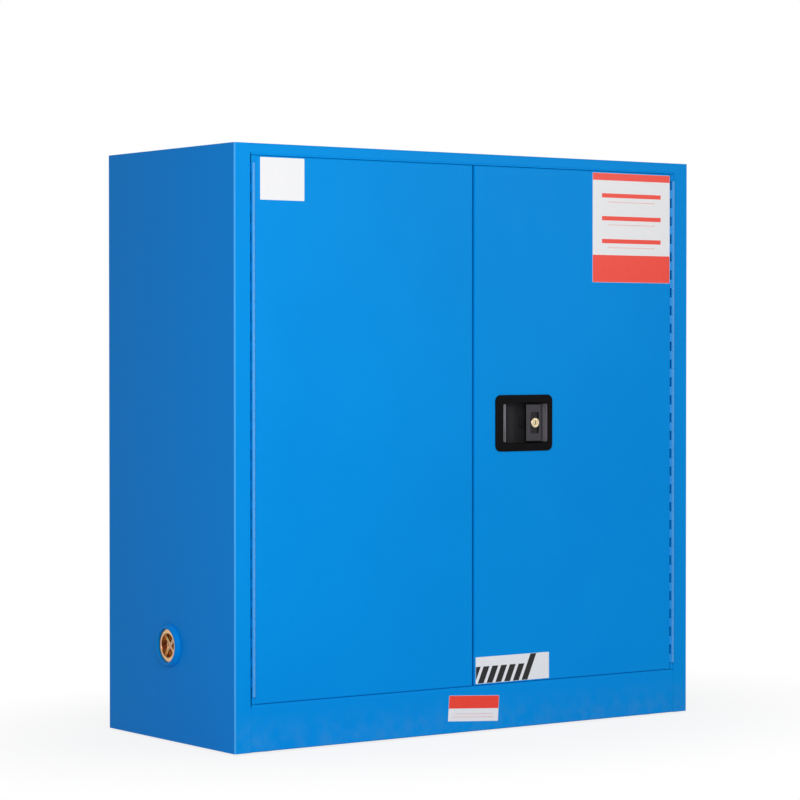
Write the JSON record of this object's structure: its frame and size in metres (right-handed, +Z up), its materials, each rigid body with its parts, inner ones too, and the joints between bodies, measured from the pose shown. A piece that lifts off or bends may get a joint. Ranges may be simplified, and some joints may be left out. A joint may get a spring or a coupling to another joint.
{
  "type": "chemical storage cabinet",
  "caption": "Free-standing double-walled steel safety cabinet with hinged inset doors, a recessed keyed latch, a lift-out shelf, a leak sump and screw-plugged vents.",
  "frame": {"origin": "on the floor under the middle of the cabinet", "axes": "+Z up, -Y out of the front with the doors, +X to the right seen from the front"},
  "size_m": [1.1126, 0.4647, 1.12],
  "materials": {
    "blue_coat": "satin powder coat",
    "zinc_steel": "zinc plated",
    "plug_chromate": "yellow chromate",
    "gasket_rubber": "matt",
    "latch_black": "satin black",
    "lock_brass": "polished"
  },
  "bodies": {
    "carcass": {"left_side_panel": "blue_coat", "right_side_panel": "blue_coat", "top_panel": "blue_coat", "back_panel": "blue_coat", "sill_panel": "blue_coat", "bottom_panel": "blue_coat", "left_liner": "blue_coat", "right_liner": "blue_coat", "back_liner": "blue_coat", "ceiling_liner": "blue_coat", "sump_tray": "blue_coat", "wall_spacers": "blue_coat", "shelf_standards": "blue_coat", "shelf_clips": "zinc_steel", "left_vent_collar": "blue_coat", "right_vent_collar": "blue_coat", "left_flame_arrestor": "zinc_steel", "right_flame_arrestor": "zinc_steel", "foot_nuts": "zinc_steel", "ground_stud": "zinc_steel", "ground_nut": "zinc_steel", "head_strike": "zinc_steel", "sill_strike": "zinc_steel", "left_hinge_frame_leaf": "blue_coat", "right_hinge_frame_leaf": "blue_coat", "left_hinge_pin": "zinc_steel", "right_hinge_pin": "zinc_steel"},
    "left_door": {"left_door_skin": "blue_coat", "left_door_panel": "blue_coat", "left_hinge_door_leaf": "blue_coat", "meeting_seal": "gasket_rubber", "bolt_keeper": "zinc_steel"},
    "right_door": {"right_door_skin": "blue_coat", "right_door_panel": "blue_coat", "right_hinge_door_leaf": "blue_coat", "latch_dish": "latch_black", "latch_chassis": "zinc_steel", "latch_nuts": "zinc_steel", "latch_cover": "blue_coat", "rod_guides": "zinc_steel", "rod_spring": "zinc_steel"},
    "lever": {"latch_lever": "latch_black", "lever_pin": "zinc_steel", "lock_barrel": "lock_brass"},
    "key": {"key_plug": "lock_brass", "lock_cam": "zinc_steel"},
    "rotor": {"latch_rotor": "zinc_steel"},
    "top_rod": {"top_rod": "zinc_steel"},
    "bottom_rod": {"bottom_rod": "zinc_steel"},
    "centre_bolt": {"centre_bolt": "zinc_steel"},
    "shelf": {"shelf": "blue_coat"},
    "front_left_foot": {"front_left_foot": "zinc_steel"},
    "front_right_foot": {"front_right_foot": "zinc_steel"},
    "back_left_foot": {"back_left_foot": "zinc_steel"},
    "back_right_foot": {"back_right_foot": "zinc_steel"},
    "left_vent_gasket": {"left_vent_gasket": "gasket_rubber"},
    "left_vent_plug": {"left_vent_plug": "plug_chromate"},
    "right_vent_gasket": {"right_vent_gasket": "gasket_rubber"},
    "right_vent_plug": {"right_vent_plug": "plug_chromate"}
  },
  "joints": [
    {"name": "left_door_hinge", "type": "hinge", "parent": "carcass", "child": "left_door", "pos_m": [-0.505, -0.231, 0.595], "axis": [0, 0, -1], "range_deg": [0, 170]},
    {"name": "right_door_hinge", "type": "hinge", "parent": "carcass", "child": "right_door", "pos_m": [0.505, -0.231, 0.595], "axis": [0, 0, 1], "range_deg": [0, 170]},
    {"name": "lever_pull", "type": "hinge", "parent": "right_door", "child": "lever", "pos_m": [0.1655, -0.222, 0.599], "axis": [0, 0, 1], "range_deg": [0, 36]},
    {"name": "key_turn", "type": "hinge", "parent": "lever", "child": "key", "pos_m": [0.1515, -0.222, 0.599], "axis": [0, -1, 0], "range_deg": [0, 90]},
    {"name": "rotor_turn", "type": "hinge", "parent": "right_door", "child": "rotor", "pos_m": [0.1655, -0.2005, 0.599], "axis": [0, -1, 0], "range_deg": [0, 31.45]},
    {"name": "top_rod_slide", "type": "slide", "parent": "right_door", "child": "top_rod", "axis": [0, 0, -1], "range_m": [0, 0.01951], "stiffness_N_per_m": 400, "springref_m": -0.02, "deforming": ["rod_spring"]},
    {"name": "bottom_rod_slide", "type": "slide", "parent": "right_door", "child": "bottom_rod", "axis": [0, 0, 1], "range_m": [0, 0.01951]},
    {"name": "centre_bolt_slide", "type": "slide", "parent": "right_door", "child": "centre_bolt", "axis": [1, 0, 0], "range_m": [0, 0.01518]},
    {"name": "shelf_lift", "type": "slide", "parent": "carcass", "child": "shelf", "axis": [0, 0, 1], "range_m": [0, 0.1]},
    {"name": "front_left_foot_screw", "type": "slide", "parent": "carcass", "child": "front_left_foot", "axis": [0, 0, -1], "range_m": [0, 0.01]},
    {"name": "front_right_foot_screw", "type": "slide", "parent": "carcass", "child": "front_right_foot", "axis": [0, 0, -1], "range_m": [0, 0.01]},
    {"name": "back_left_foot_screw", "type": "slide", "parent": "carcass", "child": "back_left_foot", "axis": [0, 0, -1], "range_m": [0, 0.01]},
    {"name": "back_right_foot_screw", "type": "slide", "parent": "carcass", "child": "back_right_foot", "axis": [0, 0, -1], "range_m": [0, 0.01]},
    {"name": "left_plug_out", "type": "slide", "parent": "carcass", "child": "left_vent_gasket", "axis": [-1, 0, 0], "range_m": [0, 0.016]},
    {"name": "left_plug_turn", "type": "hinge", "parent": "left_vent_gasket", "child": "left_vent_plug", "pos_m": [-0.545, 0, 0.184], "axis": [-1, 0, 0], "range_deg": [0, 1440]},
    {"name": "right_plug_out", "type": "slide", "parent": "carcass", "child": "right_vent_gasket", "axis": [1, 0, 0], "range_m": [0, 0.016]},
    {"name": "right_plug_turn", "type": "hinge", "parent": "right_vent_gasket", "child": "right_vent_plug", "pos_m": [0.545, 0, 0.936], "axis": [1, 0, 0], "range_deg": [0, 1440]}
  ],
  "couplings": [
    {"joint": "rotor_turn", "follows": "lever_pull", "ratio": 0.87322},
    {"joint": "top_rod_slide", "follows": "lever_pull", "m_per_rad": 0.031043},
    {"joint": "bottom_rod_slide", "follows": "lever_pull", "m_per_rad": 0.031043},
    {"joint": "centre_bolt_slide", "follows": "lever_pull", "m_per_rad": 0.024145},
    {"joint": "left_plug_turn", "follows": "left_plug_out", "rad_per_m": 1570.8},
    {"joint": "right_plug_turn", "follows": "right_plug_out", "rad_per_m": 1570.8}
  ]
}
